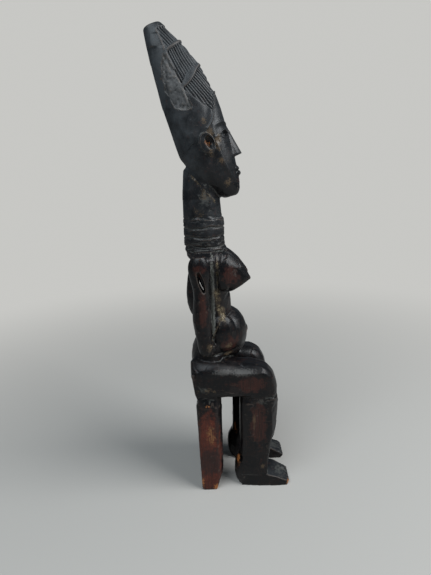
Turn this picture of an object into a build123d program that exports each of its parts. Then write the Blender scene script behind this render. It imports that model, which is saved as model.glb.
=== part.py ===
"""Carved wooden ancestor figure: a seated woman with a tall swept-back coiffure, on a stool with a board leg.

The figure faces -Y, +Z is up, and the origin is at floor level in the middle of the overall footprint.
The real one is cut from a single block, so every solid here is one carved member of that block. The
members meet face to face and carry no joinery. All sizes are in millimetres.
"""

import math
import os

from build123d import *

# ---------------------------------------------------------------- driving dimensions
# stool
board_leg_height = 111.0      # floor to the underside of the seat
board_leg_half_width = 41.0
board_leg_front = 7.0
board_leg_rear = 34.0         # where it meets the seat
board_leg_foot_taper = 2.5    # how far the rear face comes forward at the floor
board_front_chamfer = 5.0     # bevel on the two front corners
board_rear_chamfer = 2.0
board_toe_bevel_height = 24.0  # bevel that lifts the front bottom edge
board_toe_bevel_depth = 8.0
seat_thickness = 5.0
seat_half_width = 40.0
seat_front = -17.0             # under the back of the knees
seat_back_rise = 24.0         # how far the dished back of the seat rises above its flat
seat_back_lean = 3.4          # how far the rim of that back stands behind the board leg
seat_dish_start = 9.5         # where the flat of the seat begins to curl up
seat_rim_thickness = 2.0

# legs
leg_spacing = 25.0            # middle of the body to the middle of each leg
thigh_height = 38.0
thigh_half_width = 17.5
thigh_sink = 3.0              # how deep the round thigh beds into the seat
knee_height = 42.0            # the knee block is taller than the thigh
knee_drop = 6.0               # and its middle sits this much lower
knee_front = -53.5            # right knee
knee_round = 8.5              # length of the rounded end of the knee
limb_corner = 0.62            # corner radius of the squared limbs, as a share of their half width
limb_end_corner = 0.9         # the same where a limb closes in a round end
buttock_rear = 38.5
shin_rear = -13.0             # back of the right calf
shin_half_width = 16.0
shin_front_swell = 1.5        # how far the upper shin stands ahead of its knee crease
ankle_half_width = 12.5
ankle_front = -45.0
left_leg_setback = 6.0        # the left knee, shin and heel sit this much further back
foot_toe = -67.7
foot_heel = -6.5
foot_inner = 10.5
foot_outer = 38.0
instep_height = 20.0
toe_knuckle_y = -50.0         # where the top of the foot breaks down towards the toes
big_toe_height = 15.5         # inner wall there
little_toe_height = 12.0      # outer wall there
toe_tip_height = 4.5
foot_edge_height = 18.5       # outer wall of the foot, below the ankle
heel_height = 38.0            # top of the round heel, behind the calf
heel_half_width = 11.0
heel_depth = 20.0

# trunk
trunk_height = 116.0          # lap to the shoulder shelf where the neck stands
pelvis_half_width = 34.0
pelvis_front = -2.0
waist_half_width = 23.5
waist_front = -7.0
waist_rear = 21.5
waist_above_lap = 58.0
chest_half_width = 28.5
chest_rear = 22.5
shoulder_half_width = 37.0
shoulder_front = -4.5
shoulder_rear = 38.0
belly_half_width = 27.0
belly_half_depth = 22.8
belly_half_height = 29.0
belly_centre_y = -1.0
belly_centre_above_lap = 23.5
breast_spacing = 15.5
breast_root = 6.0             # flat flank of the breast, back to the crease beside the arm
breast_start = -4.0           # where it begins to taper
breast_tip = -28.5
breast_half_width = 14.5
breast_half_height = 20.5
breast_tip_radius = 4.0
breast_droop = 7.0            # how far the tip lies below the middle of the root
breast_below_shoulder = 22.0
flank_hollow_radius = 8.0
flank_hollow_x = 32.5
flank_hollow_y = 9.0

# arms
arm_spacing = 34.0
arm_half_width = 8.5
arm_front = 14.5
arm_rear = 33.5
shoulder_cap_rear = 35.5
wrist_above_lap = 34.0
hand_length = 24.0
hand_half_width = 7.5
shoulder_round = 6.0          # height of the rounded top of the shoulder cap
left_elbow_bow = 10.0         # the left elbow is carved this much further back
left_elbow_gap = 14.0         # and its front edge this much, clear of the back
slit_height = 23.0            # daylight slit pierced behind the armpit
slit_width = 5.0
slit_y = 23.0
slit_below_shoulder = 26.5
slit_lean = 14.0              # degrees, top to the rear

# neck
neck_height = 84.0            # shoulder shelf to the nape
neck_half_width = 17.0
neck_half_depth = 20.0
neck_y = 20.0
neck_foot_spread = 1.4
neck_ring_count = 3
neck_ring_pitch = 9.6
neck_ring_proud = 1.4
neck_ring_round = 1.3
neck_ring_base = 4.5          # plain neck below the lowest ring

# head and coiffure, measured along a leaning head axis
head_lean = 20.0              # degrees back from vertical
head_axis_y = 7.5
chin_below_nape = 32.5
face_height = 93.0            # chin to the middle of the hairline
face_half_width = 23.0
forehead_half_width = 20.5    # at the hairline
chin_front = 27.0             # ahead of the head axis
chin_half_width = 9.0
forehead_front = 38.6
skull_rear = 16.5             # behind the head axis
hairline_rear = 14.5          # the same at the level of the hairline
nape_along = 42.0             # level of the nape along the head axis
temple_along = 62.0           # lowest point of the hairline, above the ear
temple_ahead = 18.0
hairline_sag = 5.0            # how far the hairline curves in between forehead and temple
hair_seam_rise = 6.0          # coiffure edge above the nape, at the back of the head
crest_height = 75.4           # hairline to the end of the crest
crest_half_width = 7.5        # at its end
crest_end_front = 13.5
crest_end_rear = 3.5
crest_front_bulge = 5.5
crest_rear_bulge = 1.3
crest_end_round = 2.5
ear_height = 20.0
ear_depth = 14.0
ear_rim = 3.6
ear_proud = 3.0
ear_along = 51.0
ear_ahead = 14.0
nose_width = 14.0
nose_reach = 9.0
eye_width = 14.0
eye_height = 6.5
eye_proud = 1.8
eye_below_brow = 8.0
lip_width = 18.0
lip_height = 4.5
lip_proud = 2.5

# three sunk panels on the front of the crest, parted by two plain bands
panel_depth = 1.0
panel_rear = 13.0             # rear border, ahead of the head axis, at the temple
panel_rear_top = 8.0          # the same at the end of the crest
panel_top_margin = 6.0        # plain wood left at the end of the crest
hair_rim = 2.0                # plain rim left along the hairline
band_width = 3.0
lower_band_swell = 2.4        # the lower band is a leaf, this much wider on each side in its middle
band_reach = 20.0             # length of a band, measured ahead
lowest_panel_drop = 9.5       # the lowest panel's rear corner, below the middle of the hairline
lowest_panel_ahead = 24.7     # and ahead of the head axis
upper_band_rise = 48.0        # above the hairline, on the rear border of the panels
upper_band_slope = 0.30       # rise per length towards the front
lower_band_rise = 13.0
lower_band_slope = 0.66

# ---------------------------------------------------------------- levels and places worked out from them
seat_top = board_leg_height + seat_thickness
thigh_z = seat_top - thigh_sink + thigh_height / 2
lap = thigh_z + thigh_height / 2 - 1.0
shoulder = lap + trunk_height
nape = shoulder + neck_height
knee_z = thigh_z - knee_drop
seat_rear = board_leg_rear + seat_back_lean

head_base = Plane(
    origin=(0, head_axis_y, nape - chin_below_nape),
    x_dir=(1, 0, 0),
    z_dir=(0, math.sin(math.radians(head_lean)), math.cos(math.radians(head_lean))),
)
sides = {"right": -1, "left": 1}
setback = {"right": 0.0, "left": left_leg_setback}


def between(start, end, share):
    return start + (end - start) * share


def bulge(share):
    """0 at both ends of a span and 1 in its middle."""
    return 4 * share * (1 - share)


def egg(plane, half_width, front, widest, rear, x=0.0):
    """Closed section on a plane: a half ellipse to the front and one to the rear of the widest line."""
    with BuildSketch(plane) as section:
        with BuildLine():
            EllipticalCenterArc((x, widest), half_width, widest - front, start_angle=180, arc_size=180)
            EllipticalCenterArc((x, widest), half_width, rear - widest, start_angle=0, arc_size=180)
        make_face()
    return section.sketch


def eggs(stations, base=Plane.XY, x=0.0):
    """Egg sections for a loft, each station given as (level, half_width, front, widest, rear)."""
    return [egg(base.offset(level), *outline, x) for level, *outline in stations]


def squared(plane, half_width, half_height, x, y, corner=limb_corner):
    """Closed section on a plane: a rectangle with well rounded corners."""
    with BuildSketch(plane) as section:
        with Locations((x, y)):
            RectangleRounded(2 * half_width, 2 * half_height, corner * min(half_width, half_height))
    return section.sketch


def head_point(along, ahead, x=0.0):
    return head_base.from_local_coords(Vector(x, -ahead, along))


def ellipsoid(centre, half_x, half_y, half_z, tilt=0.0):
    """Ellipsoid with its half axes along X, Y and Z, tilted about X."""
    with BuildPart() as ball:
        Sphere(1)
        scale(by=(half_x, half_y, half_z))
    return Location(centre, (tilt, 0, 0)) * ball.part


# ---------------------------------------------------------------- legs
def make_thigh(side):
    """Thigh and buttock as one loft along Y, from the buttock to the knee."""
    x = sides[side] * leg_spacing
    knee = knee_front + setback[side]
    half, knee_half = thigh_height / 2, knee_height / 2
    stations = [  # y, middle z, half width, half height, corner share
        (buttock_rear, thigh_z + 8.0, 7.0, 8.0, limb_end_corner),
        (buttock_rear - 5.0, thigh_z + 6.0, thigh_half_width - 4.0, half - 4.0, limb_end_corner),
        (buttock_rear - 16.0, thigh_z + 2.5, thigh_half_width, half, limb_corner),
        (buttock_rear - 40.0, thigh_z, thigh_half_width, half, limb_corner),
        (knee + 22.0, knee_z, thigh_half_width, knee_half, limb_corner),
        (knee + knee_round, knee_z - 2.0, thigh_half_width - 2.0, knee_half - 4.5, limb_corner),
        (knee + 2.5, knee_z - 5.0, thigh_half_width - 6.0, knee_half - 10.5, limb_end_corner),
        (knee, knee_z - 8.0, 5.5, 5.0, limb_end_corner),
    ]
    sections = [
        squared(Plane.XZ.offset(-y), half_width, half_height, x, z, corner)
        for y, z, half_width, half_height, corner in stations
    ]
    with BuildPart() as thigh:
        loft(sections)
    return thigh.part


def make_shin(side, thigh):
    """Calf and shin from the ankle up to the underside of the knee."""
    x = sides[side] * leg_spacing
    back = setback[side]
    front = knee_front + shin_front_swell + back
    rear = shin_rear + back
    knee_level = knee_z - knee_height / 2
    stations = [  # level, half width, front, rear
        (instep_height - 5.0, ankle_half_width, ankle_front + back, foot_heel + back - 3.0),
        (instep_height + 22.0, ankle_half_width + 1.0, ankle_front - 2.0 + back, rear + 0.5),
        (knee_level * 0.63, shin_half_width - 1.5, front + 1.0, rear),
        (knee_level * 0.90, shin_half_width, front - 2.3, rear),
        (knee_z, shin_half_width - 1.0, front + 2.0, rear - 1.0),
    ]
    sections = [
        squared(Plane.XY.offset(level), half_width, (rear_y - front_y) / 2, x, (rear_y + front_y) / 2)
        for level, half_width, front_y, rear_y in stations
    ]
    with BuildPart() as shin:
        loft(sections)
        add(thigh, mode=Mode.SUBTRACT)
    return shin.part


def make_foot(side, shin):
    """Wedge foot on a flat sole, low at the toes, with a round heel that stands up behind the calf."""
    sign, back = sides[side], setback[side]
    heel = foot_heel + back
    stations = [  # y, outer wall, inner wall, trim of both widths
        (heel - heel_depth / 3, foot_edge_height, foot_edge_height, 3.0),
        (ankle_front + back + 15.0, foot_edge_height - 0.5, instep_height, 1.0),
        (toe_knuckle_y, little_toe_height, big_toe_height, 0.0),
        (foot_toe, toe_tip_height, toe_tip_height, 0.5),
    ]
    heel_stations = [  # level, half width, front, widest, rear
        (0.0, heel_half_width - 2.0, heel - heel_depth, heel - 10.0, heel - 3.5),
        (heel_height * 0.24, heel_half_width, heel - heel_depth, heel - 10.0, heel),
        (heel_height * 0.72, heel_half_width - 0.5, heel - heel_depth, heel - 10.0, heel),
        (heel_height * 0.92, heel_half_width - 3.0, heel - heel_depth, heel - 11.0, heel - 3.5),
        (heel_height, heel_half_width - 6.5, heel - heel_depth + 2.0, heel - 13.0, heel - 9.0),
    ]
    with BuildPart() as foot:
        for y, outer_height, inner_height, trim in stations:
            with BuildSketch(Plane.XZ.offset(-y)):
                with BuildLine():
                    Polyline(
                        (sign * (foot_inner + trim), 0),
                        (sign * (foot_outer - trim), 0),
                        (sign * (foot_outer - trim), outer_height),
                        (sign * (foot_inner + trim), inner_height),
                        close=True,
                    )
                make_face()
        loft(ruled=True)
        loft(eggs(heel_stations, x=sign * leg_spacing))
        add(shin, mode=Mode.SUBTRACT)
    return foot.part


thighs = {side: make_thigh(side) for side in sides}
shins = {side: make_shin(side, thighs[side]) for side in sides}
feet = {side: make_foot(side, shins[side]) for side in sides}

# ---------------------------------------------------------------- trunk
with BuildPart() as trunk:
    waist = lap + waist_above_lap
    trunk_stations = [  # level, half width, front, widest, rear
        (seat_top + 1.0, pelvis_half_width - 4.0, pelvis_front + 4.0, 16.0, buttock_rear - 5.0),
        (thigh_z, pelvis_half_width, pelvis_front, 17.0, seat_rear - seat_rim_thickness),
        (lap - 4.0, pelvis_half_width + 1.0, pelvis_front, 17.0, buttock_rear - 0.3),
        (lap + 9.0, pelvis_half_width, pelvis_front - 1.0, 16.0, buttock_rear - 2.5),
        (lap + 24.0, pelvis_half_width - 4.0, waist_front + 2.0, 15.0, buttock_rear - 9.0),
        (waist - 17.0, waist_half_width + 2.0, waist_front + 0.5, 12.0, waist_rear + 2.5),
        (waist, waist_half_width, waist_front, 10.0, waist_rear),
        (waist + 19.0, waist_half_width + 2.5, waist_front + 1.0, 9.0, waist_rear - 0.5),
        (shoulder - 20.0, chest_half_width, shoulder_front - 1.0, 10.0, chest_rear),
        (shoulder - 9.0, shoulder_half_width, shoulder_front - 0.5, 18.0, shoulder_rear - 5.0),
        (shoulder, shoulder_half_width - 9.0, shoulder_front, 17.0, shoulder_rear),
    ]
    loft(eggs(trunk_stations))
    for sign in sides.values():
        with Locations((sign * flank_hollow_x, flank_hollow_y, waist)):
            Cylinder(flank_hollow_radius, 2 * waist_above_lap - 40.0, mode=Mode.SUBTRACT)
    belly_stations = []
    for share in (-0.97, -0.8, -0.5, -0.15, 0.2, 0.55, 0.82, 0.97):
        girth = math.sqrt(1 - share ** 2)
        reach = belly_half_depth * girth
        level = lap + belly_centre_above_lap + belly_half_height * share
        belly_stations.append(
            (level, belly_half_width * girth, belly_centre_y - reach, belly_centre_y, belly_centre_y + reach)
        )
    loft(eggs(belly_stations))
    for sign in sides.values():
        with BuildPart(mode=Mode.PRIVATE) as breast:
            for share in (-1.0, 0.0, 0.35, 0.72, 1.0):
                taper = max(share, 0.0)
                full = 1 - taper ** 1.6
                tip = breast_tip + breast_tip_radius / 2
                y = between(breast_start, tip, taper) if share >= 0 else breast_root
                level = shoulder - breast_below_shoulder - taper * breast_droop
                with BuildSketch(Plane.XZ.offset(-y)):
                    with Locations((sign * breast_spacing, level)):
                        Ellipse(
                            between(breast_tip_radius, breast_half_width, full),
                            between(breast_tip_radius, breast_half_height, full),
                        )
            loft()
            tip_edge = breast.edges().sort_by(Axis.Y)[0]
            fillet(tip_edge, breast_tip_radius * 0.7)
        add(breast.part)
    for thigh in thighs.values():
        add(thigh, mode=Mode.SUBTRACT)


# ---------------------------------------------------------------- arms
def make_arm(side):
    """Shoulder cap, arm and hand as one loft, pierced behind the armpit."""
    x = sides[side] * arm_spacing
    bow, gap = (left_elbow_bow, left_elbow_gap) if side == "left" else (0.0, 0.0)
    wrist = lap + wrist_above_lap
    elbow = between(wrist, shoulder, 0.28)
    slit_z = shoulder - slit_below_shoulder
    middle = between(arm_front, arm_rear, 0.5)
    stations = [  # level, half width, front, widest, rear
        (wrist - hand_length, hand_half_width - 2.5, arm_front - 1.0, middle - 4.0, arm_rear - 8.0),
        (wrist - hand_length * 0.55, hand_half_width, arm_front - 3.0, middle - 3.5, arm_rear - 4.0),
        (wrist, arm_half_width - 0.5, arm_front + gap * 0.3, middle + bow * 0.5, arm_rear - 2.0 + bow * 0.6),
        (elbow, arm_half_width, arm_front + gap, middle + bow, arm_rear - 0.5 + bow),
        (slit_z, arm_half_width, arm_front + gap * 0.65, middle + bow * 0.5, arm_rear + bow * 0.45),
        (shoulder - 2 * shoulder_round, arm_half_width + 0.5, arm_front - 1.0, middle, shoulder_cap_rear),
        (shoulder - shoulder_round, arm_half_width - 0.5, arm_front + 1.0, middle, shoulder_cap_rear - 1.5),
        (shoulder - 1.5, arm_half_width - 2.5, arm_front + 3.5, middle, shoulder_cap_rear - 4.5),
    ]
    with BuildPart() as arm:
        loft(eggs(stations, x=x))
        slit_plane = Plane.YZ * Location((slit_y, slit_z, 0), (0, 0, -slit_lean))
        with BuildSketch(slit_plane):
            Ellipse(slit_width / 2, slit_height / 2)
        extrude(amount=2 * arm_spacing, both=True, mode=Mode.SUBTRACT)
        add(trunk.part, mode=Mode.SUBTRACT)
        for thigh in thighs.values():
            add(thigh, mode=Mode.SUBTRACT)
    return arm.part


arms = {side: make_arm(side) for side in sides}

# ---------------------------------------------------------------- stool
with BuildPart() as board_leg:
    with BuildSketch(Plane.YZ):
        with BuildLine():
            Polyline(
                (board_leg_rear, board_leg_height),
                (board_leg_rear - board_leg_foot_taper, 0),
                (board_leg_front + board_toe_bevel_depth, 0),
                (board_leg_front, board_toe_bevel_height),
                (board_leg_front, board_leg_height),
                close=True,
            )
        make_face()
    extrude(amount=board_leg_half_width, both=True)
    rear_corners = board_leg.faces().filter_by(Axis.X).edges().group_by(Axis.Y)[-1]
    chamfer(rear_corners, board_rear_chamfer)
    front_corners = board_leg.faces().filter_by(Axis.X).edges().filter_by(Axis.Z).group_by(Axis.Y)[0]
    chamfer(front_corners, board_front_chamfer)

with BuildPart() as stool_seat:
    with BuildSketch(Plane.YZ):
        with BuildLine():
            Polyline(
                (seat_dish_start, seat_top),
                (seat_front, seat_top),
                (seat_front, board_leg_height),
                (board_leg_rear, board_leg_height),
                (seat_rear, seat_top + seat_back_rise),
                (seat_rear - seat_rim_thickness, seat_top + seat_back_rise),
            )
            ThreePointArc(
                (seat_rear - seat_rim_thickness, seat_top + seat_back_rise),
                (between(seat_dish_start, seat_rear, 0.62), seat_top + seat_back_rise * 0.38),
                (seat_dish_start, seat_top),
            )
        make_face()
    extrude(amount=seat_half_width, both=True)
    add(trunk.part, mode=Mode.SUBTRACT)
    for side in sides:
        add(thighs[side], mode=Mode.SUBTRACT)
        add(shins[side], mode=Mode.SUBTRACT)

# ---------------------------------------------------------------- head and coiffure
nose_base, brow = face_height / 3, face_height * 2 / 3
face_stations = [  # along the axis, half width, front, widest, rear
    (-4.0, chin_half_width - 3.0, -chin_front + 2.0, -20.0, -13.0),
    (4.0, chin_half_width + 4.0, -chin_front - 3.0, -14.0, -3.0),
    (18.0, face_half_width - 4.0, -chin_front - 6.0, -10.0, 5.0),
    (nape_along - 10.0, face_half_width - 1.0, -forehead_front + 4.0, -8.0, skull_rear - 4.0),
    (nape_along + 6.0, face_half_width, -forehead_front + 2.5, -8.0, skull_rear),
    (
        between(nape_along, face_height, 0.55),
        face_half_width - 0.5,
        -forehead_front + 0.5,
        -8.0,
        skull_rear - 0.5,
    ),
]
crest_stations = [
    (
        face_height + crest_height * share,
        between(forehead_half_width, crest_half_width, share),
        -between(forehead_front, crest_end_front, share) - crest_front_bulge * bulge(share),
        between(-8.0, -4.0, share),
        between(hairline_rear, crest_end_rear, share) + crest_rear_bulge * bulge(share),
    )
    for share in (0.0, 0.3, 0.6, 0.85, 1.0)
]
with BuildPart() as head_block:
    loft(eggs(face_stations + crest_stations, head_base))

# side profiles of the head lie in the mid plane: x along the head axis, y ahead of it
profile_plane = Plane(origin=head_base.origin, x_dir=head_base.z_dir, z_dir=(1, 0, 0))
outside = 30.0                # how far the cutting profiles run past the head


def hairline(rise):
    """Start, middle and end of the hairline arc, from the forehead to the temple, raised by a rim."""
    front = Vector(face_height + rise, forehead_front)
    temple = Vector(temple_along + rise, temple_ahead)
    chord = temple - front
    return front, (front + temple) / 2 + Vector(-chord.Y, chord.X).normalized() * hairline_sag, temple


with BuildPart() as face_region:
    front, middle, temple = hairline(0.0)
    nape_edge = Vector(nape_along + hair_seam_rise, -skull_rear)
    with BuildSketch(profile_plane):
        with BuildLine():
            ThreePointArc(front, middle, temple)
            Polyline(
                temple,
                nape_edge,
                nape_edge + Vector(0, -outside),
                Vector(-outside, -skull_rear - outside),
                Vector(-outside, forehead_front + outside),
                front + Vector(0, outside),
                front,
            )
        make_face()
    extrude(amount=face_half_width + outside, both=True)


def rear_border(along):
    """Point on the rear border of the panels, which leans forward from the crest end to the temple."""
    share = (along - temple_along) / (face_height + crest_height - temple_along)
    return Vector(along, between(panel_rear, panel_rear_top, share))


def band_edge(rise, slope, side, swell=0.0):
    """Points along one edge of a band, side -1 for its lower edge and 1 for its upper: at the rear border,
    half way with the swell, at the front of the crest, and beyond it.
    """
    rear = rear_border(face_height + rise) + Vector(side * band_width / 2, 0)
    run = Vector(slope, 1)
    half_way = rear + run * band_reach / 2 + Vector(1, -slope).normalized() * side * swell
    return rear, half_way, rear + run * band_reach, rear + run * outside


with BuildPart() as panel_core:
    loft(
        eggs(
            [
                (level, half_width - panel_depth, front + panel_depth, widest, rear)
                for level, half_width, front, widest, rear in face_stations[-3:] + crest_stations
            ],
            head_base,
        )
    )

with BuildPart() as panels:
    crest_end = face_height + crest_height - panel_top_margin
    upper = [band_edge(upper_band_rise, upper_band_slope, side) for side in (-1, 1)]
    lower = [band_edge(lower_band_rise, lower_band_slope, side, lower_band_swell) for side in (-1, 1)]
    with BuildSketch(profile_plane):
        with BuildLine():
            top_rear = rear_border(crest_end)
            Polyline(upper[1][0], top_rear, top_rear + Vector(0, outside), upper[1][-1], close=True)
        make_face()
        with BuildLine():
            rear, half_way, band_front, beyond = lower[1]
            ThreePointArc(rear, half_way, band_front)
            Polyline(band_front, beyond, upper[0][-1], upper[0][0], rear)
        make_face()
        with BuildLine():
            rear, half_way, band_front, beyond = lower[0]
            front, middle, temple = hairline(hair_rim)
            ThreePointArc(rear, half_way, band_front)
            Polyline(band_front, beyond, front + Vector(0, outside), front)
            ThreePointArc(front, middle, temple)
            Polyline(temple, rear_border(temple_along + hair_rim + 3.0), rear)
        make_face()
        with BuildLine():
            corner = Vector(face_height - lowest_panel_drop, lowest_panel_ahead)
            past_corner = rear + (corner - rear) * 2
            Polyline(
                rear,
                past_corner,
                Vector(temple_along - outside, past_corner.Y),
                Vector(temple_along - outside, rear.Y),
                close=True,
            )
        make_face(mode=Mode.SUBTRACT)
    extrude(amount=face_half_width + outside, both=True)
    add(panel_core.part, mode=Mode.SUBTRACT)

with BuildPart() as head:
    add(head_block.part)
    add(face_region.part, mode=Mode.INTERSECT)

    # nose, from the brow to its base a third of the way up the face
    with BuildPart(mode=Mode.PRIVATE) as nose:
        nose_stations = [
            (nose_base, nose_width / 2, -forehead_front + 5.0 - nose_reach, -forehead_front + 8.0, -20.0),
            (brow, nose_width / 4, -forehead_front + 1.0, -forehead_front + 6.0, -20.0),
        ]
        loft(eggs(nose_stations, head_base))
    add(nose.part)
    for sign in sides.values():
        eye_place = head_point(brow - eye_below_brow, forehead_front - 4.0, sign * face_half_width * 0.42)
        add(ellipsoid(eye_place, eye_width / 2, eye_proud + 2.0, eye_height / 2, -head_lean))
    for row in (-1, 1):
        lip_place = head_point(nose_base * 0.55 + row * lip_height / 2, chin_front + 5.5)
        add(ellipsoid(lip_place, lip_width / 2, lip_proud, lip_height / 2 + 0.4, -head_lean))

    # ears, each a C-shaped rim open to the front
    for sign in sides.values():
        ear_plane = Plane(
            origin=head_point(ear_along, ear_ahead, sign * (face_half_width - 4.0)),
            x_dir=-head_base.y_dir,
            z_dir=(sign, 0, 0),
        )
        with BuildSketch(ear_plane):
            Ellipse(ear_depth / 2, ear_height / 2)
            with Locations((ear_rim * 0.6, 0)):
                Ellipse(ear_depth / 2 - ear_rim, ear_height / 2 - ear_rim, mode=Mode.SUBTRACT)
        extrude(amount=4.0 + ear_proud)

with BuildPart() as coiffure:
    add(head_block.part)
    fillet(coiffure.faces().sort_by(Axis.Z)[-1].edges(), crest_end_round)
    add(panels.part, mode=Mode.SUBTRACT)
    add(head.part, mode=Mode.SUBTRACT)

# ---------------------------------------------------------------- neck
with BuildPart() as neck:
    for level, spread, shift, shrink in (
        (shoulder, neck_foot_spread, -2.6, 0.0),
        (between(shoulder, nape, 0.4), 0.0, 0.0, 0.0),
        (nape - 2.0, 0.0, -0.5, 2.0),
    ):
        with BuildSketch(Plane.XY.offset(level)):
            with Locations((0, neck_y + shift)):
                Ellipse(neck_half_width + spread - shrink, neck_half_depth + spread - shrink)
    loft()
    for ring in range(neck_ring_count):
        with BuildPart(mode=Mode.PRIVATE) as band:
            with BuildSketch(Plane.XY.offset(shoulder + neck_ring_base + ring * neck_ring_pitch)):
                with Locations((0, neck_y - 1.2)):
                    Ellipse(neck_half_width + neck_ring_proud, neck_half_depth + neck_ring_proud)
            extrude(amount=neck_ring_pitch)
            fillet(band.edges(), neck_ring_round)
        add(band.part)
    add(head.part, mode=Mode.SUBTRACT)
    add(coiffure.part, mode=Mode.SUBTRACT)

# ---------------------------------------------------------------- output
members = {
    "coiffure": coiffure.part,
    "head": head.part,
    "neck": neck.part,
    "trunk": trunk.part,
    "stool_seat": stool_seat.part,
    "stool_board_leg": board_leg.part,
}
for side in sides:
    members[f"{side}_arm"] = arms[side]
    members[f"{side}_thigh"] = thighs[side]
    members[f"{side}_shin"] = shins[side]
    members[f"{side}_foot"] = feet[side]

os.makedirs("parts", exist_ok=True)
for name, solid in members.items():
    solid.label = name
    export_step(solid, f"parts/{name}.step")
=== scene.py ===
import math
import bpy
import bmesh
import numpy as np
from functools import partial
from mathutils import Matrix, Vector


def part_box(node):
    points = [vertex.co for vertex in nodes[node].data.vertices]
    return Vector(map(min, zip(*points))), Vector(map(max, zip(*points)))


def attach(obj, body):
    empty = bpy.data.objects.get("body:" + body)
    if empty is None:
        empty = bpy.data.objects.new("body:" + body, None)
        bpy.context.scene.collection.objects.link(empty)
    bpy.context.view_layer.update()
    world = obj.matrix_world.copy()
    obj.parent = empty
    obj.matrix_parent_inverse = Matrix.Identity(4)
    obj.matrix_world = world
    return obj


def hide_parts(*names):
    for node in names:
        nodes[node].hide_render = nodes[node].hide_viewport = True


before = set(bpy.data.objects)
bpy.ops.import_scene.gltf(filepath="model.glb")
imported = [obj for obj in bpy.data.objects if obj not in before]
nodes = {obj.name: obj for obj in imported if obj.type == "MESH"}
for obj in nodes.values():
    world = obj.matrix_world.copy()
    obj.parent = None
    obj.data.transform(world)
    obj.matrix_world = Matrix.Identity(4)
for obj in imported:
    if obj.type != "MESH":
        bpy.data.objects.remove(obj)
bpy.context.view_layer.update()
mm = 0.001

# the carved block: one skin over all the members
carving = {
    "voxel": 0.7,   # mm
    "weld": 0.001,                         # mm between corners that are one
    "softenRounds": 7,                     # worn, hand-rubbed arrises
    "facetSpacing": 13.0,                  # mm between knife cuts
    "facetStrength": 0.42,
    "facetLimit": 0.6,                     # mm, the deepest knife cut
    "facetsOnFace": 0.25,                  # the share of them that the calm face keeps
    "wobble": 0.6,                         # mm of unevenness
    "wobbleSize": 17.0,
    "crumbs": 1.3,                         # mm, how high the crust stands
    "crumbSize": 1.6,
    "solePlane": (0.3, 2.5),               # mm above the floor where carving begins
    "seed": 7,
}

# the leaning head axis, as in the CAD model
headFrame = {"lean": 20.0, "axisY": 7.5, "belowNeckTop": 30.5}


def nodeBox(*names):
    lows, highs = zip(*(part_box(name) for name in names))
    low = np.min([tuple(v) for v in lows], axis=0)
    high = np.max([tuple(v) for v in highs], axis=0)
    return low / mm, high / mm


def newPiece(name, mesh):
    piece = bpy.data.objects.new(name, mesh)
    bpy.context.scene.collection.objects.link(piece)
    return piece


def applied(piece):
    # the piece's mesh with its modifiers in it
    graph = bpy.context.evaluated_depsgraph_get()
    mesh = bpy.data.meshes.new_from_object(piece.evaluated_get(graph))
    piece.modifiers.clear()
    piece.data = mesh
    return mesh


lumps = {   # swellings left in the block: middle, half size, lean about X, roundness
    "flank": ((20.5, 5.0, 176.0), (9.8, 17.0, 24.0), 0, 1.0),
    "breastRoot": ((18.6, 0.6, 243.0), (11.0, 6.6, 17.0), 0, 0.55),
    "slitWeb": ((37.0, 22.5, 243.5), (3.0, 2.7, 13.0), -14, 1.0),
    "bigToe": ((16.0, -57.0, 5.0), (6.0, 10.0, 5.6), 0, 1.0),
    "littleToe": ((29.0, -57.0, 4.2), (7.0, 9.8, 4.8), 0, 1.0),
}


def addLump(shape, side, middle, half, lean, roundness):
    made = bmesh.ops.create_uvsphere(shape, u_segments=24, v_segments=16, radius=1.0)["verts"]
    for vert in made:   # a power under 1 squares the ball up into a soft block
        vert.co = Vector([math.copysign(abs(part) ** roundness, part) for part in vert.co])
    bmesh.ops.scale(shape, vec=Vector(half) * mm, verts=made)
    bmesh.ops.rotate(shape, matrix=Matrix.Rotation(math.radians(lean), 3, "X"), verts=made)
    place = Vector((middle[0] * side, middle[1], middle[2])) * mm
    bmesh.ops.translate(shape, vec=place, verts=made)


def wholeSkin():
    shape = bmesh.new()
    for name in nodes:
        shape.from_mesh(nodes[name].data)
    bmesh.ops.remove_doubles(shape, verts=shape.verts, dist=carving["weld"] * mm)
    mesh = bpy.data.meshes.new("carvedBlock")
    added = bmesh.new()
    for middle, half, lean, roundness in lumps.values():
        for side in (-1, 1):
            addLump(added, side, middle, half, lean, roundness)
    added.to_mesh(mesh)
    added.free()
    shape.from_mesh(mesh)
    shape.to_mesh(mesh)
    shape.free()
    block = newPiece("carvedBlock", mesh)
    remesh = block.modifiers.new("skin", "REMESH")
    remesh.mode = "VOXEL"
    remesh.voxel_size = carving["voxel"] * mm
    remesh.use_smooth_shade = True
    applied(block)
    soften = block.modifiers.new("soften", "SMOOTH")
    soften.factor = 0.5
    soften.iterations = carving["softenRounds"]
    applied(block)
    return block


def refineSkin(block):
    # halve the faces of the combed hair and the face, which carry the finest cuts
    mesh = block.data
    centres = faceCentres(mesh)
    along, ahead = headAxes(centres)
    comb = combStrands(centres, along, ahead)[1]
    lowest, highest, front = face["fineReach"]
    features = (ahead > front) & (along > lowest) & (along < highest)
    fine = (centres[:, 2] > nodeBox("head")[0][2]) & ((comb > 0.05) | features)
    sides = readArray(mesh.loops, "edge_index", np.int32)
    corners = readArray(mesh.polygons, "loop_total", np.int32)
    chosen = np.unique(sides[np.repeat(fine, corners)])
    shape = bmesh.new()
    shape.from_mesh(mesh)
    shape.edges.ensure_lookup_table()
    bmesh.ops.subdivide_edges(shape, edges=[shape.edges[i] for i in chosen], cuts=1, use_grid_fill=True)
    shape.to_mesh(mesh)
    shape.free()


# arrays and fields over the skin, all in mm
def readArray(items, label, kind=np.float32, width=1):
    values = np.empty(len(items) * width, dtype=kind)
    items.foreach_get(label, values)
    return values


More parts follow.
